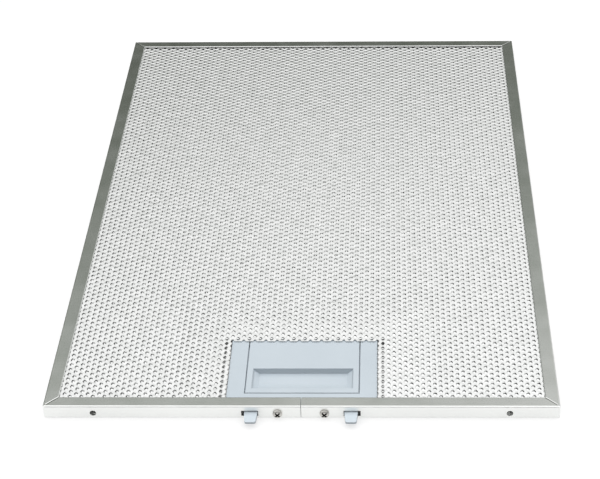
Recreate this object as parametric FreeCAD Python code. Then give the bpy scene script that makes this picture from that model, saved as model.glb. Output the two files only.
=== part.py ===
import FreeCAD, Part
import math
import os

# Grease filter of a cooker hood: a folded aluminium frame around a pack of expanded mesh, with a
# spring-loaded finger latch in the middle of the front side. Millimetres, +Z towards the visible face,
# -Y towards the latch side, origin at the bottom centre of the whole outline with the tongues out.

V = FreeCAD.Vector
same_place = 1e-6

# Frame: one strip folded to a channel with hemmed lips
frame_width = 268.0
frame_depth = 395.0
frame_height = 8.0
sheet = 0.5
flange_width = 7.5
hem_return = 4.5
hem_flat = 0.1
fold_radius = 0.8
corner_radius = 1.6
mitre_gap = 0.2
mitre_roll = 1.1
mitre_roll_depth = 0.08
seam_gap = 0.25
drain_radius = 1.7
drain_offset = 108.0
drain_height = 3.45

# Mesh layers: ridged sheets with rows of gaps
mesh_edge_gap = 0.4
layer_gap = 0.05
mesh_border = 6.0
outer_layer = 0.8
outer_strand = 0.35
outer_pitch = 4.0
outer_opening = 2.0
inner_count = 3
inner_strand = 0.35
inner_pitch = 16.0
inner_opening = 12.0
cutout_border = 1.5
cutout_gap = 0.7
inner_cutout_gap = 4.0

# Handle: base, cover and the slide between them, measured back from the frame's front face
handle_width = 79.0
handle_back = 57.5
mesh_overlap = 2.1
handle_gap = 0.1
cover_thickness = 1.3
floor_thickness = 0.8
base_wall = 1.5
front_wall_gap = 0.1
edge_round = 0.3
peg_width = 2.2
peg_gap = 0.1
peg_block = 4.0
peg_places = (22.0, 46.0)

# Slide with the finger recess
slide_front = 13.35
groove = 0.5
slide_play = 0.1
rail_inset = 1.45
rail_reach = 3.05
cross_bar = 2.0
recess_width = 53.6
recess_border = 2.95
recess_front = 17.0
recess_back = 33.2
recess_scoop = 8.0
recess_side = 2.6
recess_step = 1.4
step_draft = 0.8
recess_draft = 0.2
pocket_wall = 0.6
pocket_clearance = 0.5

# Latch tongues, moulded on the slide
tongue_reach = 8.0
tongue_width = 7.0
tongue_offset = 26.0
tongue_taper = 0.75
tongue_drop = 0.35
tongue_round = 1.3
tongue_bevel = 1.2
tongue_lane_gap = 0.4
over_travel = 0.5
travel_clearance = 1.5
slot_inner_gap = 0.4
slot_outer_gap = 1.45
slot_below = 0.3
slot_above = 0.8

# Springs
spring_seat_inset = 6.7
spring_diameter = 2.3
spring_wire = 0.3
spring_turns = 8
spring_steps = 8
spring_offset = 14.0
spring_end_gap = 0.05
spigot_gap = 0.15
spigot_length = 2.5
abutment_width = 12.0

# Screws
screw_offset = 12.15
screw_length = 6.5
shank_radius = 1.35
shank_gap = 0.05
head_radius = 2.5
head_height = 1.7
head_rim = 0.6
head_crown = 1.6
cross_length = 2.9
cross_width = 0.75
cross_depth = 1.0
cross_turn = 45.0
screw_hole_gap = 0.35
boss_wall = 0.75
boss_end = 0.4
stop_offset = 18.5
stop_width = 3.0

# Levels and places that follow from the sizes above
front = (tongue_reach - frame_depth) / 2
centre_y = front + frame_depth / 2
travel = tongue_reach + over_travel
hem = 2 * sheet
back_bottom = hem + layer_gap
back_top = back_bottom + outer_layer
face_top = frame_height - hem - layer_gap
face_bottom = face_top - outer_layer
inner_room = face_bottom - back_top
inner_layer = (inner_room - (inner_count + 1) * layer_gap) / inner_count
mesh_width = frame_width - 2 * (sheet + mesh_edge_gap)
mesh_depth = frame_depth - 2 * (sheet + mesh_edge_gap)

handle_half = handle_width / 2
handle_top = face_bottom - handle_gap
cover_bottom = handle_top - cover_thickness
base_bottom = back_top + layer_gap
floor_top = base_bottom + floor_thickness
base_front = front + sheet + front_wall_gap
base_back = front + handle_back
cutout_half = handle_half + cutout_gap
cutout_back = base_back - mesh_overlap

slide_half = recess_width / 2 + recess_border
rail_half = slide_half + rail_reach
rail_top = cover_bottom - slide_play
rail_bottom = floor_top + slide_play
pocket_bottom = base_bottom + slide_play / 2
recess_floor = pocket_bottom + pocket_wall
lip_level = handle_top - recess_step
scoop_depth = lip_level - recess_floor
scoop_radius = (recess_scoop ** 2 + scoop_depth ** 2) / (2 * scoop_depth)
pocket_back = front + recess_back + pocket_wall
abutment_front = base_back - spring_seat_inset
spring_length = abutment_front - pocket_back

tongue_bottom = base_bottom + slide_play
tongue_top = rail_top - tongue_drop
tongue_in = tongue_offset - tongue_width / 2
tongue_out = tongue_offset + tongue_width / 2
spring_axis = (cover_bottom + back_top) / 2
screw_height = spring_axis
spigot_half = (spring_diameter / 2 - spring_wire - spigot_gap) / math.sqrt(2)
boss_radius = shank_radius + shank_gap + boss_wall
boss_back = front + screw_length + boss_end


def box(x0, x1, y0, y1, z0, z1):
    return Part.makeBox(x1 - x0, y1 - y0, z1 - z0, V(x0, y0, z0))


def both_sides(shape):
    return [shape, shape.mirror(V(0, 0, 0), V(1, 0, 0))]


def fuse(shapes):
    return shapes[0].multiFuse(shapes[1:]).removeSplitter()


def cut(shape, tools):
    return shape.cut(Part.makeCompound(tools))


def prism(points, direction):
    return Part.Face(Part.makePolygon(points + points[:1])).extrude(direction)


def rod(radius, x, z, y0, y1):
    return Part.makeCylinder(radius, y1 - y0, V(x, y0, z), V(0, 1, 0))


def edges_at(shape, level):
    return [e for e in shape.Edges if all(abs(v.Z - level) < same_place for v in e.Vertexes)]


def round_rim(shape, level, radius):
    return shape.makeFillet(radius, edges_at(shape, level))


# Frame


def flange_window(inset, z0, z1):
    half = frame_width / 2 - inset
    return box(-half, half, front + inset, front + frame_depth - inset, z0, z1)


def round_edges(slab, axis, radius):
    """Rounds the four edges of a box that run along one axis."""
    edges = [e for e in slab.Edges if e.tangentAt(e.FirstParameter).cross(axis).Length < same_place]
    return slab.makeFillet(radius, edges)


def bent_slab(inset):
    """The frame's outline, pulled in by inset on every face, with its four upright bends rounded."""
    slab = flange_window(inset, inset, frame_height - inset)
    return round_edges(slab, V(0, 0, 1), corner_radius - inset)


def folded_slab():
    """The outside of the strip: bent at the corners, its folds mitred there."""
    slab = flange_window(0, 0, frame_height)
    side_folds = round_edges(slab, V(0, 1, 0), fold_radius)
    end_folds = round_edges(slab, V(1, 0, 0), fold_radius)
    return bent_slab(0).common(side_folds).common(end_folds)


def hemmed_lip(z0):
    """A flange's inner edge, folded back on itself: double thickness with a round nose."""
    outside = flange_window(flange_width - hem_return, z0, z0 + hem)
    lip = outside.cut(flange_window(flange_width, z0, z0 + hem))
    half = frame_width / 2 - flange_width
    half_depth = frame_depth / 2 - flange_width
    nose = []
    for edge in edges_at(lip, z0) + edges_at(lip, z0 + hem):
        middle = edge.CenterOfMass
        if abs(middle.x) < half + sheet and abs(middle.y - centre_y) < half_depth + sheet:
            nose.append(edge)
    return lip.makeFillet((hem - hem_flat) / 2, nose)


def mitre_cuts():
    """The slits where two sides' flanges meet at 45 degrees, their sheared edges rolled down a little."""
    length = (flange_width - corner_radius) * math.sqrt(2) + flange_width
    half_roll = mitre_roll / 2
    cuts = []
    for side in (-1, 1):
        for end in (-1, 1):
            tools = [Part.makeBox(length, mitre_gap, frame_height, V(0, -mitre_gap / 2, 0))]
            for level, depth in ((0, mitre_roll_depth), (frame_height, -mitre_roll_depth)):
                groove_points = [V(0, -half_roll, level), V(0, half_roll, level), V(0, 0, level + depth)]
                tools.append(prism(groove_points, V(length, 0, 0)))
            corner_x = side * (frame_width / 2 - corner_radius)
            corner_y = centre_y + end * (frame_depth / 2 - corner_radius)
            for tool in tools:
                tool.rotate(V(0, 0, 0), V(0, 0, 1), math.degrees(math.atan2(-end, -side)))
                tool.translate(V(corner_x, corner_y, 0))
            cuts += tools
    return cuts


def front_wall_cuts():
    y0 = front - sheet
    y1 = front + 2 * sheet
    slot = box(tongue_in - slot_inner_gap, tongue_out + slot_outer_gap, y0, y1,
               tongue_bottom - slot_below, tongue_top + slot_above)
    screw_hole = rod(shank_radius + screw_hole_gap, screw_offset, screw_height, y0, y1)
    drain = rod(drain_radius, drain_offset, drain_height, y0, y1)
    seam = box(-seam_gap / 2, seam_gap / 2, y0, front + flange_width + sheet, 0, frame_height)
    return both_sides(slot) + both_sides(screw_hole) + both_sides(drain) + [seam]


def frame():
    channel = folded_slab().cut(bent_slab(sheet))
    channel = channel.cut(flange_window(flange_width - hem_return, 0, frame_height))
    strip = fuse([channel, hemmed_lip(0), hemmed_lip(frame_height - hem)])
    return cut(strip, mitre_cuts() + front_wall_cuts())


# Mesh layers


def ridged_sheet(run, span, pitch, opening, strand, z, thickness):
    """Ridges along X, side by side along Y, and the cutters for the gaps between them."""
    rows = round(span / pitch)
    step = span / rows
    outline = [V(-run / 2, span / 2, z), V(-run / 2, -span / 2, z)]
    for row in range(rows):
        y = -span / 2 + row * step
        outline.append(V(-run / 2, y + opening / 2, z + strand))
        outline.append(V(-run / 2, y + step / 2, z + thickness))
        outline.append(V(-run / 2, y + step - opening / 2, z + strand))
    outline.insert(2, V(-run / 2, -span / 2, z + strand))
    outline.append(V(-run / 2, span / 2, z + strand))
    ridges = prism(outline, V(run, 0, 0))
    end = run / 2 - mesh_border
    flat_edges = box(end, run / 2, -span / 2, span / 2, z + strand, z + 2 * thickness)
    gaps = both_sides(flat_edges)
    for row in range(1, rows):
        y = -span / 2 + row * step
        gaps.append(box(-end, end, y - opening / 2, y + opening / 2, z - strand, z + thickness))
    return ridges, Part.makeCompound(gaps)


def mesh_layer(z, thickness, pitch, opening, strand, turned, notches):
    """One layer of the pack. Each notch is (x0, x1, how far back it reaches)."""
    if turned:
        parts = ridged_sheet(mesh_depth, mesh_width, pitch, opening, strand, z, thickness)
        for piece in parts:
            piece.rotate(V(0, 0, 0), V(0, 0, 1), 90)
    else:
        parts = ridged_sheet(mesh_width, mesh_depth, pitch, opening, strand, z, thickness)
    layer, gaps = parts
    for piece in parts:
        piece.translate(V(0, centre_y, 0))
    low = z - strand
    high = z + 2 * thickness
    for x0, x1, back in notches:
        keep = box(x0 - cutout_border, x1 + cutout_border, front, back + cutout_border, low, high)
        gaps = gaps.cut(keep)
    layer = layer.cut(gaps)
    layer = cut(layer, [box(x0, x1, front, back, low, high) for x0, x1, back in notches])
    return layer.removeSplitter()


def outer_mesh(z, notches):
    return mesh_layer(z, outer_layer, outer_pitch, outer_opening, outer_strand, False, notches)


def inner_mesh(index):
    z = back_top + layer_gap + index * (inner_layer + layer_gap)
    half = handle_half + inner_cutout_gap
    notch = (-half, half, base_back + travel + travel_clearance)
    turned = index % 2 == 0
    return mesh_layer(z, inner_layer, inner_pitch, inner_opening, inner_strand, turned, [notch])


def face_mesh():
    return outer_mesh(face_bottom, [(-cutout_half, cutout_half, cutout_back)])


def back_mesh():
    half = boss_radius + screw_hole_gap
    reach = boss_back + screw_hole_gap
    right = (screw_offset - half, screw_offset + half, reach)
    left = (-screw_offset - half, -screw_offset + half, reach)
    return outer_mesh(back_bottom, [left, right])


# Handle


def tray_walls():
    """The outer wall and the guide wall on each side of the tray. They merge where a side is narrow."""
    walls = []
    for inside in (handle_half - base_wall, rail_half + slide_play):
        wall = box(inside, inside + base_wall, base_front, base_back, base_bottom, cover_bottom)
        walls += both_sides(wall)
    return walls


def screw_boss():
    """An arched block that the screw cuts its thread in."""
    x0 = screw_offset - boss_radius
    x1 = screw_offset + boss_radius
    y = base_front
    low = Part.makePolygon([V(x0, y, screw_height), V(x0, y, back_bottom), V(x1, y, back_bottom),
                            V(x1, y, screw_height)])
    crown = Part.Arc(V(x1, y, screw_height), V(screw_offset, y, screw_height + boss_radius),
                     V(x0, y, screw_height)).toShape()
    return Part.Face(Part.Wire(low.Edges + [crown])).extrude(V(0, boss_back - y, 0))


def peg_blocks():
    x0 = rail_half + slide_play
    blocks = []
    for place in peg_places:
        y = front + place
        block = box(x0, handle_half, y - peg_block / 2, y + peg_block / 2, base_bottom, cover_bottom)
        blocks += both_sides(block)
    return blocks


def pegs(width, z0):
    half = width / 2
    x = (rail_half + slide_play + handle_half) / 2
    shapes = []
    for place in peg_places:
        y = front + place
        shapes += both_sides(box(x - half, x + half, y - half, y + half, z0, cover_bottom))
    return shapes


def spigot(y0, y1):
    """A square pin that centres the end of a spring."""
    return box(spring_offset - spigot_half, spring_offset + spigot_half, y0, y1,
               spring_axis - spigot_half, spring_axis + spigot_half)


def spring_seat():
    """The upright that a spring pushes against, with its spigot."""
    half = abutment_width / 2
    upright = box(spring_offset - half, spring_offset + half, abutment_front,
                  abutment_front + base_wall, base_bottom, rail_top)
    return [upright, spigot(abutment_front - spigot_length, abutment_front)]


def handle_base():
    floor = box(-handle_half, handle_half, base_front, base_back, base_bottom, floor_top)
    wall = box(-handle_half, handle_half, base_front, base_front + base_wall, base_bottom, face_top)
    stop = box(stop_offset - stop_width / 2, stop_offset + stop_width / 2, base_front,
               front + slide_front, base_bottom, rail_top)
    window_half = recess_width / 2 + pocket_wall + pocket_clearance
    window_front = front + recess_front - 2 * pocket_wall - pocket_clearance
    window = box(-window_half, window_half, window_front, abutment_front, base_bottom, floor_top)
    lane_back = front + slide_front + cross_bar + travel + travel_clearance
    lane = box(tongue_in - tongue_lane_gap, tongue_out + tongue_lane_gap, base_front, lane_back,
               base_bottom, tongue_top + slot_above)
    hole = rod(shank_radius + shank_gap, screw_offset, screw_height, base_front, boss_back)
    solids = [floor.cut(window), wall] + tray_walls() + peg_blocks()
    solids += both_sides(screw_boss()) + both_sides(stop)
    for piece in spring_seat():
        solids += both_sides(piece)
    holes = both_sides(lane) + both_sides(hole) + pegs(peg_width + 2 * peg_gap, floor_top)
    return cut(fuse(solids), holes)


def handle_cover():
    y0 = base_front + base_wall + handle_gap
    plate = box(-handle_half, handle_half, y0, base_back, cover_bottom, handle_top)
    opening_half = slide_half + groove
    opening = box(-opening_half, opening_half, front + slide_front - groove, base_back,
                  cover_bottom, handle_top)
    plate = round_rim(plate.cut(opening), handle_top, edge_round)
    relief_half = boss_radius + handle_gap
    relief = box(screw_offset - relief_half, screw_offset + relief_half, y0, boss_back + handle_gap,
                 cover_bottom, screw_height + relief_half)
    plate = cut(plate, both_sides(relief))
    return fuse([plate] + pegs(peg_width, floor_top + peg_gap))


def scoop_profile(wall):
    """The recess's side outline below its lip: steep back, flat floor, arc up to the lip."""
    floor = recess_floor - wall
    y_floor = front + recess_front + recess_scoop
    y_back = front + recess_back + wall
    radius = scoop_radius + wall
    centre_z = floor + radius
    angle = math.acos((centre_z - lip_level) / radius)
    lip = V(0, y_floor - radius * math.sin(angle), lip_level)
    bend = V(0, y_floor - radius * math.sin(angle / 2), centre_z - radius * math.cos(angle / 2))
    start = V(0, y_floor, floor)
    corner = V(0, y_back - recess_draft, floor)
    rim = V(0, y_back, lip_level)
    edges = [Part.Arc(lip, bend, start).toShape(), Part.makeLine(start, corner),
             Part.makeLine(corner, rim), Part.makeLine(rim, lip)]
    return Part.Face(Part.Wire(edges))


def scoop(wall):
    """The recess below its lip as a solid, grown by wall: the side outline with its sides drawn in."""
    half = recess_width / 2 - step_draft + wall
    floor = recess_floor - wall
    profile = scoop_profile(wall)
    profile.translate(V(-half, 0, 0))
    block = profile.extrude(V(2 * half, 0, 0))
    y0 = front + recess_front - recess_scoop
    y1 = front + recess_back + recess_scoop
    tapered = [V(-half, y0, lip_level), V(half, y0, lip_level), V(half - recess_side, y0, floor),
               V(-half + recess_side, y0, floor)]
    return block.common(prism(tapered, V(0, y1 - y0, 0)))


def recess(wall):
    """The whole finger recess, grown by wall: a step with steep sides, and the scoop below it."""
    half = recess_width / 2 + wall
    y0 = front + recess_front - wall
    y1 = front + recess_back + wall
    mouth = [V(-half, y0, handle_top), V(half, y0, handle_top), V(half - step_draft, y0, lip_level),
             V(-half + step_draft, y0, lip_level)]
    return fuse([prism(mouth, V(0, y1 - y0, 0)), scoop(wall)])


def tongue():
    """A flat latch tongue that narrows to its round tip, with a bevel under the tip."""
    tip = front - tongue_reach
    root = front + slide_front + cross_bar
    outline = [(tongue_in, root), (tongue_in, front), (tongue_in + tongue_taper, tip),
               (tongue_out - tongue_taper, tip), (tongue_out, front), (tongue_out, root)]
    blade = prism([V(x, y, tongue_bottom) for x, y in outline], V(0, 0, tongue_top - tongue_bottom))
    corners = [e for e in blade.Edges
               if all(abs(v.Y - tip) < same_place for v in e.Vertexes)
               and abs(e.Vertexes[0].Z - e.Vertexes[1].Z) > same_place]
    blade = blade.makeFillet(tongue_round, corners)
    bevel = prism([V(tongue_in, tip, tongue_bottom), V(tongue_in, tip + 2 * tongue_bevel, tongue_bottom),
                   V(tongue_in, tip, tongue_bottom + tongue_bevel)], V(tongue_width, 0, 0))
    return blade.cut(bevel)


def slide_section():
    """The slide's section: a panel with a guide rail along each edge."""
    rail_in = slide_half - rail_inset
    half = [(slide_half, handle_top), (slide_half, rail_top), (rail_half, rail_top),
            (rail_half, rail_bottom), (rail_in, rail_bottom), (rail_in, cover_bottom)]
    y = front + slide_front
    right = [V(x, y, z) for x, z in half]
    left = [V(-x, y, z) for x, z in reversed(half)]
    return right + left


def latch_slider():
    y0 = front + slide_front
    body = prism(slide_section(), V(0, abutment_front - y0, 0))
    rear = box(-slide_half, slide_half, abutment_front, base_back, cover_bottom, handle_top)
    bar = box(-rail_half, rail_half, y0, y0 + cross_bar, rail_bottom, rail_top)
    pocket = recess(pocket_wall)
    pin = spigot(pocket_back - recess_draft, pocket_back + spigot_length)
    solids = [body, rear, bar, pocket] + both_sides(tongue()) + both_sides(pin)
    slide = fuse(solids).cut(recess(0))
    return round_rim(slide, handle_top, edge_round)


def coil_ring(step, height):
    """The four corners of the wire's section, one step along the helix, which runs up Z."""
    angle = 2 * math.pi * step / spring_steps
    along = height * step / (spring_turns * spring_steps)
    middle = (spring_diameter - spring_wire) / 2
    half = spring_wire / 2
    corners = []
    for reach, lift in ((half, 0), (0, half), (-half, 0), (0, -half)):
        radius = middle + reach
        corners.append(V(radius * math.cos(angle), radius * math.sin(angle), along + lift))
    return corners


def triangle(a, b, c):
    return Part.Face(Part.makePolygon([a, b, c, a]))


def spring(side):
    """A helical compression spring lying along Y between the slide and its seat."""
    height = spring_length - 2 * spring_end_gap - spring_wire
    rings = [coil_ring(step, height) for step in range(spring_turns * spring_steps + 1)]
    faces = []
    for ring, following in zip(rings, rings[1:]):
        for corner in range(4):
            beside = (corner + 1) % 4
            faces.append(triangle(ring[corner], ring[beside], following[corner]))
            faces.append(triangle(ring[beside], following[beside], following[corner]))
    for ring in (rings[0], rings[-1]):
        faces.append(triangle(ring[0], ring[1], ring[2]))
        faces.append(triangle(ring[0], ring[2], ring[3]))
    shell = Part.makeShell(faces)
    shell.sewShape()
    coil = Part.makeSolid(shell)
    coil.rotate(V(0, 0, 0), V(1, 0, 0), -90)
    coil.translate(V(side * spring_offset, pocket_back + spring_end_gap + spring_wire / 2, spring_axis))
    return coil


def screw(x):
    """A pan-head screw with a cross recess, its head on the outside of the front wall."""
    outline = [V(0, 0, -screw_length), V(shank_radius, 0, -screw_length), V(shank_radius, 0, 0),
               V(head_radius, 0, 0), V(head_radius, 0, head_rim), V(head_crown, 0, head_height),
               V(0, 0, head_height)]
    section = Part.Face(Part.makePolygon(outline + outline[:1]))
    turned = section.revolve(V(0, 0, 0), V(0, 0, 1), 360)
    half_length = cross_length / 2
    half_width = cross_width / 2
    z0 = head_height - cross_depth
    slots = [box(-half_length, half_length, -half_width, half_width, z0, head_height),
             box(-half_width, half_width, -half_length, half_length, z0, head_height)]
    cross = fuse(slots)
    cross.rotate(V(0, 0, 0), V(0, 0, 1), cross_turn)
    turned = turned.cut(cross)
    turned.rotate(V(0, 0, 0), V(1, 0, 0), 90)
    turned.translate(V(x, front, screw_height))
    return turned


def screws():
    return Part.makeCompound([screw(-screw_offset), screw(screw_offset)])


def main():
    nodes = {
        "frame": frame(),
        "face_mesh": face_mesh(),
        "back_mesh": back_mesh(),
        "handle_base": handle_base(),
        "handle_cover": handle_cover(),
        "latch_slider": latch_slider(),
        "spring_left": spring(-1),
        "spring_right": spring(1),
        "screws": screws(),
    }
    for index in range(inner_count):
        nodes[f"inner_mesh_{index + 1}"] = inner_mesh(index)
    os.makedirs("parts", exist_ok=True)
    for name, shape in nodes.items():
        shape.exportStep(f"parts/{name}.step")
        print(name, len(shape.Solids), shape.isValid(), round(shape.Volume, 1))


main()
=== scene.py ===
"""The looks of a cooker hood grease filter: expanded mesh, satin aluminium, moulded plastic, studio light."""

import math
from collections import namedtuple

import bmesh
import bpy
import numpy as np
from mathutils import Matrix, Vector


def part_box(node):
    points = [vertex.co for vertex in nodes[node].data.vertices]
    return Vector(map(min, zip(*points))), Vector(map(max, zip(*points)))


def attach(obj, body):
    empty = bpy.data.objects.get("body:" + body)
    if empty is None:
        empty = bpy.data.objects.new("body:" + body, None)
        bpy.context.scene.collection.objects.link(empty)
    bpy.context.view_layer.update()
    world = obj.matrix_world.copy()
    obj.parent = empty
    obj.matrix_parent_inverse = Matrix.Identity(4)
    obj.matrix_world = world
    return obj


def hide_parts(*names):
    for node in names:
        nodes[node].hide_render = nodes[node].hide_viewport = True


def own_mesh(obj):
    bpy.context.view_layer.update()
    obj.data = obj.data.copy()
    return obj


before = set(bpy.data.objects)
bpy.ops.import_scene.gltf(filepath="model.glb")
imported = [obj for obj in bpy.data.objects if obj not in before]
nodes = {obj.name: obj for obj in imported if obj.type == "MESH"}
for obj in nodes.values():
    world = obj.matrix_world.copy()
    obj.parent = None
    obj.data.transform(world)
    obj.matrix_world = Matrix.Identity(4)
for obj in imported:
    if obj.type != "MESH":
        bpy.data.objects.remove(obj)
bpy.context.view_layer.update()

MM = 0.001

Lattice = namedtuple("Lattice", "pitch strand lean rise bond flat")
Patches = namedtuple("Patches", "scale detail low high")
Grain = namedtuple("Grain", "scale detail depth strength stretch", defaults=[(1.0, 1.0, 1.0)])

# Expanded mesh: the pitch of its openings along X and Y, a strand's depth along Y, its rise across that depth
# and from one bond line to the next, and half the length of a bond and of an opening's straight edge
OUTER = Lattice(
    pitch=(6.06 * MM, 4.0 * MM),
    strand=0.60 * MM,
    lean=0.18 * MM,
    rise=0.31 * MM,
    bond=1.85 * MM,
    flat=0.40 * MM,
)
MIDDLE = Lattice(
    pitch=(9.4 * MM, 6.3 * MM),
    strand=0.75 * MM,
    lean=0.15 * MM,
    rise=0.50 * MM,
    bond=1.2 * MM,
    flat=1.2 * MM,
)
DEEP = MIDDLE._replace(pitch=(13.0 * MM, 8.6 * MM))
CENTRED = (0.0, 0.0)
SECOND_SHIFT = (1.515 * MM, 0.9 * MM)
SHEET_MARGIN = 3.0 * MM
TOP_GAP = 0.05 * MM
BOND_JITTER = (0.05 * MM, 0.04 * MM, 0.012 * MM)

# Cut-outs for the handle: the gap at its sides, and how far they stop short of its rear edge or go past it
FACE_GAP = 0.15 * MM
FACE_OVERLAP = 2.1 * MM
INNER_GAP = 4.0 * MM
INNER_CLEARANCE = 10.0 * MM

# The slide's pocket behind the handle: where the second sheet starts over it, how far back it goes, how far
# the sheet is lifted there, and the width around it in which that lift fades out
POCKET_GAP = 0.3 * MM
POCKET_BACK = 12.0 * MM
POCKET_LIFT = 0.43 * MM
POCKET_FADE = 25.0 * MM

# Cut-outs of the back sheet for the screws' bosses
BOSS_HALF = 2.5 * MM
BOSS_BACK = 7.25 * MM

# Springs
SPRING_TURNS = 8
SPRING_WIRE = 0.3 * MM
POINTS_PER_TURN = 20
WIRE_ROUNDNESS = 3

# Screws: a domed head with a cross recess, and a shank with rolled rings
HEAD_RIM = 0.5 * MM
HEAD_HEIGHT = 1.7 * MM
SHANK_RADIUS = 1.35 * MM
THREAD_PITCH = 0.8 * MM
THREAD_DEPTH = 0.25 * MM
CROSS_LENGTH = 4.0 * MM
CROSS_WIDTH = 1.0 * MM
CROSS_DEPTH = 1.3 * MM
CROSS_PROUD = 0.2 * MM
CROSS_TAPER = 0.55
DOME_STEPS = 8
SCREW_SIDES = 48

# Colours and roughness, as noise from low to high: features to the metre, detail, low and high
PATCH_EDGES = (0.3, 0.7)
FRAME_COLOUR = Patches(18.0, 4.0, (0.86, 0.87, 0.855), (0.91, 0.92, 0.905))
FRAME_ROUGHNESS = Patches(60.0, 5.0, 0.17, 0.24)
FACE_COLOUR = Patches(140.0, 2.0, (0.74, 0.75, 0.74), (0.82, 0.825, 0.82))
SECOND_COLOUR = Patches(140.0, 2.0, (0.84, 0.845, 0.84), (0.91, 0.915, 0.91))
INNER_COLOUR = Patches(140.0, 2.0, (0.82, 0.825, 0.82), (0.89, 0.895, 0.89))
FOIL_ROUGHNESS = Patches(420.0, 3.0, 0.19, 0.30)
PLASTIC_COLOUR = Patches(40.0, 3.0, (0.60, 0.67, 0.725), (0.63, 0.70, 0.755))
PLASTIC_ROUGHNESS = Patches(300.0, 3.0, 0.40, 0.52)
SPRING_COLOUR = Patches(900.0, 3.0, (0.50, 0.50, 0.49), (0.62, 0.62, 0.61))
ZINC_COLOUR = Patches(900.0, 3.0, (0.50, 0.49, 0.46), (0.64, 0.63, 0.60))
# painted shade: the screws' cross recesses get a near-black colour in place of the shadow inside them
RECESS_SHADE_COLOUR = Patches(900.0, 3.0, (0.035, 0.035, 0.03), (0.07, 0.065, 0.06))
STEEL_ROUGHNESS = Patches(2500.0, 2.0, 0.24, 0.36)
RECESS_ROUGHNESS = Patches(2500.0, 2.0, 0.48, 0.72)

# Grain, as bumps: features to the metre, detail, depth and strength
FRAME_WAVES = Grain(25.0, 1.0, 0.25 * MM, 0.12)
FRAME_LINES = Grain(900.0, 2.0, 0.02 * MM, 0.25, stretch=(0.06, 1.0, 1.0))
FOIL_GRAIN = Grain(1500.0, 3.0, 0.03 * MM, 0.3)
PLASTIC_GRAIN = Grain(3500.0, 2.0, 0.015 * MM, 0.4)
STEEL_GRAIN = Grain(4000.0, 2.0, 0.01 * MM, 0.3)

# Foil: how much painted shade darkens the outer sheets' bonds against the legs between them, and the painted
# shade of the second sheet at the rear, with the places along Y where the one fades out and the other comes
# in
BOND_PAINTED_SHADE = 0.22
BOND_EDGES = (0.65, 0.95)
SECOND_REAR_SHADE = 0.70
REAR_FADE = (50.0 * MM, 180.0 * MM)

# Steep sides: how much rougher the frame's walls are than its flanges, and how dark the painted shade on the
# plastic's sides gets
WALL_DULLNESS = 0.22
STEEP_EDGES = (0.4, 1.0)
STEEP_PAINTED_SHADE = 0.72

# Latch: the tongues are paler than the handle, and the bay behind the front wall is dark with painted shade
TONGUE_TINT = 1.12
BAY_PAINTED_SHADE = 0.06
BAY_DEPTH = 8.0 * MM
FRONT_BLEND = 1.0 * MM

# Camera: place and angles, with the lens and its shift as lengths in pixels of the picture
IMAGE_WIDTH = 600
CAMERA_PLACE = (43.5 * MM, -841.0 * MM, 568.7 * MM)
CAMERA_YAW = math.radians(-1.471)
CAMERA_PITCH = math.radians(35.109)
CAMERA_ROLL = math.radians(-0.923)
FOCAL_PIXELS = 1653.3
AXIS_PIXELS = 50.0
SENSOR = 36.0

# Light: the surroundings' colour by the angle (degrees) from straight ahead to straight behind the viewer,
# and their strength level with the object, which grows to full at some height (degrees)
STUDIO = (
    (0, (0.035, 0.04, 0.03)),
    (20, (0.045, 0.05, 0.04)),
    (28, (0.09, 0.10, 0.08)),
    (34, (0.18, 0.20, 0.17)),
    (40, (0.33, 0.35, 0.32)),
    (43, (0.45, 0.46, 0.44)),
    (48, (1.05, 1.05, 1.05)),
    (58, (1.30, 1.30, 1.30)),
    (90, (1.40, 1.40, 1.40)),
    (120, (1.25, 1.25, 1.25)),
    (130, (0.95, 0.95, 0.95)),
    (140, (0.35, 0.35, 0.35)),
    (150, (0.08, 0.08, 0.08)),
    (162, (0.08, 0.08, 0.08)),
    (168, (3.5, 3.5, 3.5)),
    (180, (3.5, 3.5, 3.5)),
)
STUDIO_TURN = math.radians(8.0)
LEVEL_STRENGTH = 0.25
FULL_HEIGHT = 35

# Floor
FLOOR_SIZE = 20.0
FLOOR_DROP = 0.1 * MM
FLOOR_WHITE = 0.45
FLOOR_GLOW = 0.60
CARD_INSET = 1.0 * MM


def add_object(name, data):
    obj = bpy.data.objects.new(name, data)
    bpy.context.scene.collection.objects.link(obj)
    return obj


def mesh_object(name, vertices, faces):
    mesh = bpy.data.meshes.new(name)
    mesh.from_pydata(vertices, [], faces)
    mesh.validate()
    return add_object(name, mesh)


def evaluated_mesh(obj):
    """A curve's or a modified object's final shape, as a mesh."""
    bpy.context.view_layer.update()
    return bpy.data.meshes.new_from_object(obj.evaluated_get(bpy.context.evaluated_depsgraph_get()))


# Materials


def rgba(tone):
    """A grey or an (r, g, b) with full alpha."""
    return (tone, tone, tone, 1.0) if isinstance(tone, float) else (*tone, 1.0)


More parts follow.
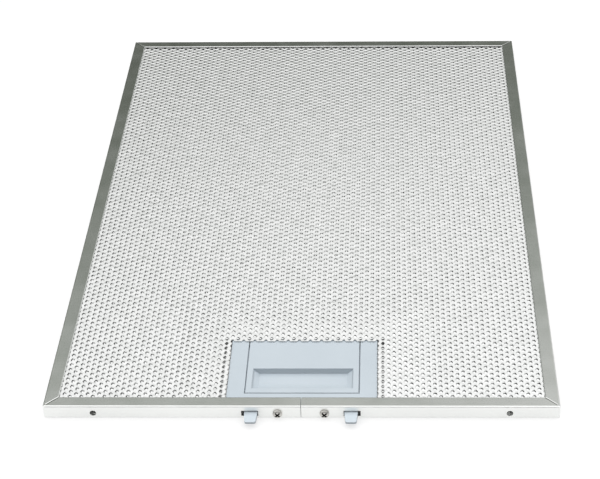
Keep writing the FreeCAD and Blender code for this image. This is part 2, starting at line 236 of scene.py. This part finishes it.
class Graph:
    """The nodes of a material or a world, with short ways to add to them."""

    def __init__(self, owner):
        owner.use_nodes = True
        self.tree = owner.node_tree
        self.coords = self.tree.nodes.new("ShaderNodeTexCoord").outputs

    def feed(self, into, value):
        """Gives an input another node's output, or a plain value."""
        if isinstance(value, bpy.types.NodeSocket):
            self.tree.links.new(value, into)
        else:
            into.default_value = value

    def node(self, kind, inputs, **settings):
        made = self.tree.nodes.new(kind)
        for key, value in settings.items():
            setattr(made, key, value)
        for key, value in inputs.items():
            self.feed(made.inputs[key], value)
        return made

    def math(self, operation, first, second=0.0):
        return self.node("ShaderNodeMath", {0: first, 1: second}, operation=operation).outputs[0]

    def split(self, vector):
        """The outputs X, Y and Z of a vector."""
        return self.node("ShaderNodeSeparateXYZ", {"Vector": vector}).outputs

    def mapped(self, coords, **inputs):
        """Coordinates of some kind, moved, turned or scaled."""
        return self.node("ShaderNodeMapping", {"Vector": self.coords[coords], **inputs}).outputs["Vector"]

    def between(self, value, places, first, last):
        """Goes from first to last while a value goes from one place to the other, and stays there."""
        inputs = {"From Min": places[0], "From Max": places[1], "To Min": first, "To Max": last}
        return self.node("ShaderNodeMapRange", {"Value": value, **inputs}).outputs["Result"]

    def ramp(self, value, places, tones):
        """Greys or colours along a value, one at each place."""
        made = self.node("ShaderNodeValToRGB", {"Fac": value})
        elements = made.color_ramp.elements
        while len(elements) < len(places):
            elements.new(0.5)
        for element, place, tone in zip(elements, places, tones):
            element.position = place
            element.color = rgba(tone)
        return made.outputs["Color"]


class Finish(Graph):
    """A material with a Principled shader, and textures for it."""

    def __init__(self, name, metallic=0.0):
        self.material = bpy.data.materials.new(name)
        super().__init__(self.material)
        self.shader = self.tree.nodes["Principled BSDF"]
        self.set("Metallic", metallic)

    def set(self, name, value):
        self.feed(self.shader.inputs[name], value)

    def noise(self, scale, detail, stretch=(1.0, 1.0, 1.0)):
        """Noise over the object, with features of about one over scale metres, squeezed by axis."""
        inputs = {"Vector": self.mapped("Object", Scale=stretch), "Scale": scale, "Detail": detail}
        return self.node("ShaderNodeTexNoise", inputs).outputs["Fac"]

    def patches(self, patches):
        noise = self.noise(patches.scale, patches.detail)
        return self.ramp(noise, PATCH_EDGES, (patches.low, patches.high))

    def upright(self):
        """One on walls and nought on level faces."""
        z = self.split(self.coords["Normal"])["Z"]
        return self.math("SUBTRACT", 1.0, self.math("MULTIPLY", z, z))

    def bonds(self, middle, pitch):
        """One at the bonds of an expanded sheet, nought at its openings and a half between."""
        turns = [2 * math.pi / length for length in pitch]
        start = (-middle.x * turns[0], -middle.y * turns[1], 0.0)
        place = self.split(self.mapped("Object", Scale=(*turns, 1.0), Location=start))
        waves = [self.math("COSINE", place[axis]) for axis in ("X", "Y")]
        half = self.math("MULTIPLY", self.math("MULTIPLY", *waves), 0.5)
        return self.math("SUBTRACT", 0.5, half)

    def along_y(self, places, first, last):
        """Goes from first to last between two places along Y."""
        return self.between(self.split(self.coords["Object"])["Y"], places, first, last)

    def shaded(self, colour, shade):
        made = self.node("ShaderNodeVectorMath", {0: colour, 1: shade}, operation="MULTIPLY")
        return made.outputs["Vector"]

    def bump(self, *grains):
        """Lays bumps over each other, the first at the bottom."""
        below = {}
        for grain in grains:
            height = self.noise(grain.scale, grain.detail, grain.stretch)
            inputs = {"Height": height, "Distance": grain.depth, "Strength": grain.strength, **below}
            below = {"Normal": self.node("ShaderNodeBump", inputs).outputs["Normal"]}
        self.set("Normal", below["Normal"])


def frame_metal():
    """Rolled aluminium strip: satin, duller down the walls, with faint rolling lines and slight waves."""
    finish = Finish("frame_aluminium", metallic=1.0)
    dulling_and_bond_shade = finish.math("MULTIPLY", finish.upright(), WALL_DULLNESS)
    finish.set("Base Color", finish.patches(FRAME_COLOUR))
    finish.set("Roughness", finish.math("ADD", finish.patches(FRAME_ROUGHNESS), dulling_and_bond_shade))
    finish.bump(FRAME_WAVES, FRAME_LINES)
    return finish.material


def foil(name):
    """Bright foil, a little uneven from strand to strand, still without its colour."""
    finish = Finish(name, metallic=1.0)
    finish.set("Roughness", finish.patches(FOIL_ROUGHNESS))
    finish.bump(FOIL_GRAIN)
    return finish


def face_foil():
    """Foil of the two outer sheets, with painted shade on the bonds that fades out towards the rear."""
    finish = foil("face_foil")
    low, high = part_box("face_mesh")
    bonds = finish.ramp(finish.bonds((low + high) / 2, OUTER.pitch), BOND_EDGES, (0.0, 1.0))
    # painted shade: the bonds' colour is darkened, less and less towards the rear
    dulling_and_bond_shade = finish.math("MULTIPLY", bonds, finish.along_y(REAR_FADE, BOND_PAINTED_SHADE, 0.0))
    shade = finish.math("SUBTRACT", 1.0, dulling_and_bond_shade)
    finish.set("Base Color", finish.shaded(finish.patches(FACE_COLOUR), shade))
    return finish.material


def second_foil():
    """Foil of the sheet under the face, with painted shade that darkens it towards the rear."""
    finish = foil("second_foil")
    # painted shade: the sheet under the face is darkened towards the rear
    shade = finish.along_y(REAR_FADE, 1.0, SECOND_REAR_SHADE)
    finish.set("Base Color", finish.shaded(finish.patches(SECOND_COLOUR), shade))
    return finish.material


def inner_foil():
    finish = foil("inner_foil")
    finish.set("Base Color", finish.patches(INNER_COLOUR))
    return finish.material


def plastic(name, front_tint_and_painted_shade=1.0, front_end=0.0):
    """Moulded plastic with a fine eroded grain, and painted shade that darkens its steep sides a little.

    In front of front_end (a place along Y) its colour is multiplied by a factor; on the tray this is painted
    shade over the latch bay, and on the slide it makes the tongues paler."""
    finish = Finish(name)
    # painted shade: steep sides get a darker colour, standing in for the shade on walls
    steep = finish.ramp(finish.upright(), STEEP_EDGES, (1.0, STEEP_PAINTED_SHADE))
    front = finish.along_y((front_end, front_end + FRONT_BLEND), front_tint_and_painted_shade, 1.0)
    shade = finish.math("MULTIPLY", steep, front)
    finish.set("Base Color", finish.shaded(finish.patches(PLASTIC_COLOUR), shade))
    finish.set("Roughness", finish.patches(PLASTIC_ROUGHNESS))
    finish.bump(PLASTIC_GRAIN)
    return finish.material


def steel(name, colour, roughness):
    finish = Finish(name, metallic=1.0)
    finish.set("Base Color", finish.patches(colour))
    finish.set("Roughness", finish.patches(roughness))
    finish.bump(STEEL_GRAIN)
    return finish.material


def coat(obj, material):
    obj.data.materials.clear()
    obj.data.materials.append(material)


def coat_node(name, material):
    for slot in nodes[name].material_slots:
        slot.material = material


def rigid_parts():
    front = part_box("frame")[0].y
    coat_node("frame", frame_metal())
    coat_node("handle_cover", plastic("cover_plastic"))
    coat_node("latch_slider", plastic("slide_plastic", TONGUE_TINT, front - FRONT_BLEND))
    # painted shade: the tray's front, seen through the slots in the frame's wall, is darkened as if deep in
    # shadow
    coat_node("handle_base", plastic("tray_plastic", BAY_PAINTED_SHADE, front + BAY_DEPTH))


# Expanded mesh


class ExpandedSheet:
    """A sheet of expanded metal in the box of a CAD layer.

    Every strand is a zigzag wedge along X that leans forward, like a shingle. At every second bond the strand
    in front stands against it, and at the others it stands against the strand behind. Bonds sit at half
    steps (u, v) from the sheet's middle where u + v is odd, and openings where it is even.

    A notch or a pocket is (x0, x1, back): all between x0 and x1, from the front edge to back."""

    def __init__(self, node, lattice, shift, seed):
        self.low, self.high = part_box(node)
        half = (self.high - self.low) / 2
        top = self.high.z - lattice.rise / 2 - TOP_GAP
        self.middle = Vector((self.low.x + half.x, self.low.y + half.y, top))
        self.middle += Vector((*shift, 0.0))
        self.step = (lattice.pitch[0] / 2, lattice.pitch[1] / 2)
        self.nu = int((half.x - SHEET_MARGIN) / self.step[0])
        self.nv = int((half.y - SHEET_MARGIN) / self.step[1])
        self.across = Vector((0.0, lattice.strand, lattice.lean))
        self.lift = Vector((0.0, 0.0, lattice.rise / 2))
        self.bond = Vector((lattice.bond, 0.0, 0.0))
        self.flat = Vector((lattice.flat, 0.0, 0.0))
        self.random = np.random.default_rng(seed)
        self.bonds = {}
        self.vertices = []
        self.faces = []

    def place_bonds(self, pocket):
        for u in range(-self.nu, self.nu + 1):
            for v in range(-self.nv, self.nv + 1):
                if (u + v) % 2:
                    place = Vector((u * self.step[0], v * self.step[1], 0.0))
                    jitter = Vector(self.random.normal(0.0, BOND_JITTER))
                    bond = self.middle + place + jitter
                    if pocket:
                        bond.z += pocket_lift(bond, pocket)
                    self.bonds[u, v] = bond

    def strand_sections(self, v):
        """Front edge, back edge and back foot of the strand between the bond lines v - 1 and v."""
        sections = []
        for u in range(-self.nu, self.nu + 1):
            if (u, v - 1) in self.bonds:
                bond = self.bonds[u, v - 1]
                front = bond - self.lift
                back = front + self.across
                front_half, back_half = self.bond, self.flat
            else:
                bond = self.bonds[u, v]
                back = bond + self.lift
                front = back - self.across
                front_half, back_half = self.flat, self.bond
            foot = Vector((back.x, back.y, bond.z - self.lift.z))
            for side in (-1, 1):
                sections.append([front + side * front_half, back + side * back_half, foot + side * back_half])
        for section, edge in ((sections[0], self.low.x), (sections[-1], self.high.x)):
            for point in section:
                point.x = edge
        return sections

    def add_strand(self, v):
        sections = self.strand_sections(v)
        first = len(self.vertices)
        last = first + 3 * (len(sections) - 1)
        for section in sections:
            self.vertices += section
        for start in range(first, last, 3):
            for side in range(3):
                beside = (side + 1) % 3
                self.faces.append((start + side, start + 3 + side, start + 3 + beside, start + beside))
        self.faces.append((first, first + 1, first + 2))
        self.faces.append((last, last + 2, last + 1))

    def build(self, name, notches, pocket):
        self.place_bonds(pocket)
        for v in range(-self.nv + 1, self.nv + 1):
            self.add_strand(v)
        obj = mesh_object(name, self.vertices, self.faces)
        self.cut(obj, notches)
        return obj

    def cut(self, obj, notches):
        """Cuts notches straight through the strands and closes the strands' ends."""
        bm = bmesh.new()
        bm.from_mesh(obj.data)
        reach = 2 * self.step[0]
        for x0, x1, back in notches:
            near = [f for f in bm.faces if inside_notch(f, x0 - reach, x1 + reach, back + reach)]
            sides = [((x, 0, 0), (1, 0, 0)) for x in (x0, x1)]
            for place, direction in (*sides, ((0, back, 0), (0, 1, 0))):
                geometry = list(dict.fromkeys(e for f in near for e in (*f.verts, *f.edges, f)))
                cut = bmesh.ops.bisect_plane(bm, geom=geometry, plane_co=place, plane_no=direction)
                near = [e for e in cut["geom"] if isinstance(e, bmesh.types.BMFace)]
            gone = [f for f in near if inside_notch(f, x0, x1, back)]
            bmesh.ops.delete(bm, geom=gone, context="FACES")
        ends = [e for e in bm.edges if len(e.link_faces) == 1]
        bmesh.ops.edgeloop_fill(bm, edges=ends)
        bmesh.ops.recalc_face_normals(bm, faces=bm.faces)
        bm.to_mesh(obj.data)
        bm.free()


def inside_notch(face, x0, x1, back):
    middle = face.calc_center_median()
    return x0 < middle.x < x1 and middle.y < back


def pocket_lift(place, pocket):
    """How far a sheet is lifted over a pocket, and less and less around it."""
    x0, x1, back = pocket
    away = max(x0 - place.x, place.x - x1, place.y - back, 0.0)
    return POCKET_LIFT * max(0.0, 1.0 - away / POCKET_FADE)


def handle_notch(beside, behind):
    low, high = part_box("handle_cover")
    return low.x - beside, high.x + beside, high.y + behind


def boss_notches():
    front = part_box("frame")[0].y
    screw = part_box("screws")[1].x - BOSS_HALF
    return [(x - BOSS_HALF, x + BOSS_HALF, front + BOSS_BACK) for x in (-screw, screw)]


def mesh_layers():
    face_notches = [handle_notch(FACE_GAP, -FACE_OVERLAP)]
    second_notches = [handle_notch(INNER_GAP, POCKET_GAP)]
    inner_notches = [handle_notch(INNER_GAP, INNER_CLEARANCE)]
    slide_pocket = handle_notch(INNER_GAP, POCKET_BACK)
    outer_metal, second_metal, inner_metal = face_foil(), second_foil(), inner_foil()
    layers = (
        ("face_mesh", OUTER, CENTRED, face_notches, None, outer_metal),
        ("back_mesh", OUTER, CENTRED, boss_notches(), None, outer_metal),
        ("inner_mesh_3", OUTER, SECOND_SHIFT, second_notches, slide_pocket, second_metal),
        ("inner_mesh_2", MIDDLE, CENTRED, inner_notches, None, inner_metal),
        ("inner_mesh_1", DEEP, CENTRED, inner_notches, None, inner_metal),
    )
    for seed, (node, lattice, shift, notches, pocket, material) in enumerate(layers):
        sheet = ExpandedSheet(node, lattice, shift, seed)
        piece = sheet.build(node.replace("mesh", "expanded"), notches, pocket)
        coat(piece, material)
        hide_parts(node)
        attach(piece, "filter")


# Springs


def coil(name, node):
    """A round-wire compression spring in the box of a CAD spring, along Y."""
    low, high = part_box(node)
    middle = (low + high) / 2
    radius = (high.x - low.x - SPRING_WIRE) / 2
    length = high.y - low.y - SPRING_WIRE
    count = SPRING_TURNS * POINTS_PER_TURN
    curve = bpy.data.curves.new(name + "_path", "CURVE")
    curve.dimensions = "3D"
    curve.bevel_depth = SPRING_WIRE / 2
    curve.bevel_resolution = WIRE_ROUNDNESS
    curve.use_fill_caps = True
    spline = curve.splines.new("POLY")
    spline.points.add(count)
    for k, point in enumerate(spline.points):
        angle = 2 * math.pi * k / POINTS_PER_TURN
        y = low.y + SPRING_WIRE / 2 + length * k / count
        point.co = (middle.x + radius * math.cos(angle), y, middle.z + radius * math.sin(angle), 1.0)
    path = add_object(name + "_path", curve)
    mesh = evaluated_mesh(path)
    bpy.data.objects.remove(path)
    return add_object(name, mesh)


def springs():
    wire = steel("spring_steel", SPRING_COLOUR, STEEL_ROUGHNESS)
    for node in ("spring_left", "spring_right"):
        piece = coil(node.replace("spring", "coil"), node)
        coat(piece, wire)
        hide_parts(node)
        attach(piece, "filter")
        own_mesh(piece)


# Screws


def screw_outline():
    """Half the section of a screw, as (radius, place along Y from the head's seat), from tip to crown."""
    low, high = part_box("screws")
    radius = (high.z - low.z) / 2
    tip = high.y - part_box("frame")[0].y
    root = SHANK_RADIUS - THREAD_DEPTH
    outline = [(0.0, tip), (root, tip)]
    for ring in range(int(tip / THREAD_PITCH) - 1, 0, -1):
        outline += [(SHANK_RADIUS, (ring + 0.5) * THREAD_PITCH), (root, ring * THREAD_PITCH)]
    outline += [(root, 0.0), (radius, 0.0), (radius, -HEAD_RIM)]
    for step in range(1, DOME_STEPS):
        angle = math.pi / 2 * step / DOME_STEPS
        crown = HEAD_RIM + (HEAD_HEIGHT - HEAD_RIM) * math.sin(angle)
        outline.append((radius * math.cos(angle), -crown))
    outline.append((0.0, -HEAD_HEIGHT))
    return outline


def turned(outline, seat):
    """The vertices and faces of an outline turned about Y at its seat."""
    vertices = []
    faces = []
    for radius, y in outline:
        for side in range(SCREW_SIDES if radius else 1):
            angle = 2 * math.pi * side / SCREW_SIDES
            vertices.append(seat + Vector((radius * math.cos(angle), y, radius * math.sin(angle))))
    start = 0
    for (radius, _), (after, _) in zip(outline, outline[1:]):
        here = SCREW_SIDES if radius else 1
        there = start + here
        for side in range(SCREW_SIDES):
            beside = (side + 1) % SCREW_SIDES
            ring = [start + side % here, start + beside % here]
            ring += [there + beside, there + side] if after else [there]
            faces.append(tuple(dict.fromkeys(ring)))
        start = there
    return vertices, faces


def cross(seat):
    """The vertices and faces of a tapered cross in the crown of a head, turned by an eighth."""
    long, short = CROSS_LENGTH / 2, CROSS_WIDTH / 2
    corner = [(short, short), (short, long), (-short, long)]
    plan = []
    for quarter in range(4):
        turn = Matrix.Rotation(math.pi / 4 + math.pi / 2 * quarter, 2)
        plan += [turn @ Vector(point) for point in corner]
    vertices = []
    for y, size in ((-HEAD_HEIGHT - CROSS_PROUD, 1.0), (CROSS_DEPTH - HEAD_HEIGHT, CROSS_TAPER)):
        vertices += [seat + Vector((p.x * size, y, p.y * size)) for p in plan]
    count = len(plan)
    faces = [tuple(range(count)), tuple(reversed(range(count, 2 * count)))]
    faces += [(k, k + count, (k + 1) % count + count, (k + 1) % count) for k in range(count)]
    return vertices, faces


def one_mesh(name, shapes):
    vertices = []
    faces = []
    for points, sides in shapes:
        faces += [tuple(k + len(vertices) for k in side) for side in sides]
        vertices += points
    obj = mesh_object(name, vertices, faces)
    bm = bmesh.new()
    bm.from_mesh(obj.data)
    bmesh.ops.recalc_face_normals(bm, faces=bm.faces)
    bm.to_mesh(obj.data)
    bm.free()
    return obj


def screws():
    low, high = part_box("screws")
    radius = (high.z - low.z) / 2
    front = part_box("frame")[0].y
    seats = [Vector((x, front, (low.z + high.z) / 2)) for x in (low.x + radius, high.x - radius)]
    whole = one_mesh("screws_whole", [turned(screw_outline(), seat) for seat in seats])
    recess = one_mesh("screws_cross", [cross(seat) for seat in seats])
    zinc = steel("zinc_steel", ZINC_COLOUR, STEEL_ROUGHNESS)
    # painted shade: the cross recesses are coloured near black, standing in for their shadow
    painted_recess_shade = steel("recess_shade_steel", RECESS_SHADE_COLOUR, RECESS_ROUGHNESS)
    for obj in (whole, recess):
        coat(obj, zinc)
        obj.data.materials.append(painted_recess_shade)
    recess.data.polygons.foreach_set("material_index", [1] * len(recess.data.polygons))
    cut = whole.modifiers.new("cross", "BOOLEAN")
    cut.operation = "DIFFERENCE"
    cut.solver = "EXACT"
    cut.object = recess
    mesh = evaluated_mesh(whole)
    for obj in (whole, recess):
        bpy.data.objects.remove(obj)
    piece = add_object("pan_head_screws", mesh)
    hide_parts("screws")
    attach(piece, "filter")


# Stage


def studio():
    """Soft light from above and from both sides, with dark surroundings ahead and behind."""
    world = bpy.data.worlds.new("studio")
    graph = Graph(world)
    background = graph.tree.nodes["Background"].inputs
    direction = graph.split(graph.mapped("Generated", Rotation=(0.0, 0.0, -STUDIO_TURN)))
    behind = graph.between(direction["Y"], (1.0, -1.0), 0.0, 1.0)
    places = [(1.0 - math.cos(math.radians(angle))) / 2 for angle, _ in STUDIO]
    graph.feed(background["Color"], graph.ramp(behind, places, [colour for _, colour in STUDIO]))
    heights = (0.0, math.sin(math.radians(FULL_HEIGHT)))
    graph.feed(background["Strength"], graph.between(direction["Z"], heights, LEVEL_STRENGTH, 1.0))
    bpy.context.scene.world = world


def level_sheet(name, low, high, z, material):
    corners = [(low.x, low.y, 0), (high.x, low.y, 0), (high.x, high.y, 0), (low.x, high.y, 0)]
    obj = mesh_object(name, corners, [(0, 1, 2, 3)])
    obj.location.z = z
    coat(obj, material)
    return obj


def white_floor():
    """A white floor: it keeps the object's shadow, and glows a little to the eye and in reflections."""
    finish = Finish("floor_white")
    rays = finish.node("ShaderNodeLightPath", {}).outputs
    seen = finish.math("MAXIMUM", rays["Is Camera Ray"], rays["Is Glossy Ray"])
    seen = finish.math("MAXIMUM", seen, rays["Is Transmission Ray"])
    finish.set("Base Color", rgba(FLOOR_WHITE))
    finish.set("Roughness", 1.0)
    finish.set("Specular IOR Level", 0.0)
    finish.set("Emission Color", rgba(1.0))
    finish.set("Emission Strength", finish.math("MULTIPLY", seen, FLOOR_GLOW))
    corner = Vector((FLOOR_SIZE / 2, FLOOR_SIZE / 2))
    floor = level_sheet("floor", -corner, corner, -FLOOR_DROP, finish.material)


def shade_card():
    """A card on the floor under the filter, which doesn't glow, so that the floor stays dark in there."""
    finish = Finish("shade_white")
    finish.set("Base Color", rgba(FLOOR_WHITE))
    low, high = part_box("frame")
    inset = Vector((CARD_INSET, CARD_INSET, 0.0))
    card = level_sheet("shade_card", low + inset, high - inset, -FLOOR_DROP / 2, finish.material)


def camera():
    data = bpy.data.cameras.new("camera")
    data.sensor_width = SENSOR
    data.lens = FOCAL_PIXELS / IMAGE_WIDTH * SENSOR
    data.shift_x = -AXIS_PIXELS / IMAGE_WIDTH
    obj = add_object("camera", data)
    turn = Matrix.Rotation(-CAMERA_YAW, 4, "Z") @ Matrix.Rotation(math.pi / 2 - CAMERA_PITCH, 4, "X")
    obj.matrix_world = Matrix.Translation(CAMERA_PLACE) @ turn @ Matrix.Rotation(CAMERA_ROLL, 4, "Z")
    bpy.context.scene.camera = obj


def main():
    bpy.context.scene.view_settings.view_transform = "Standard"
    rigid_parts()
    mesh_layers()
    springs()
    screws()
    studio()
    white_floor()
    shade_card()
    camera()


main()
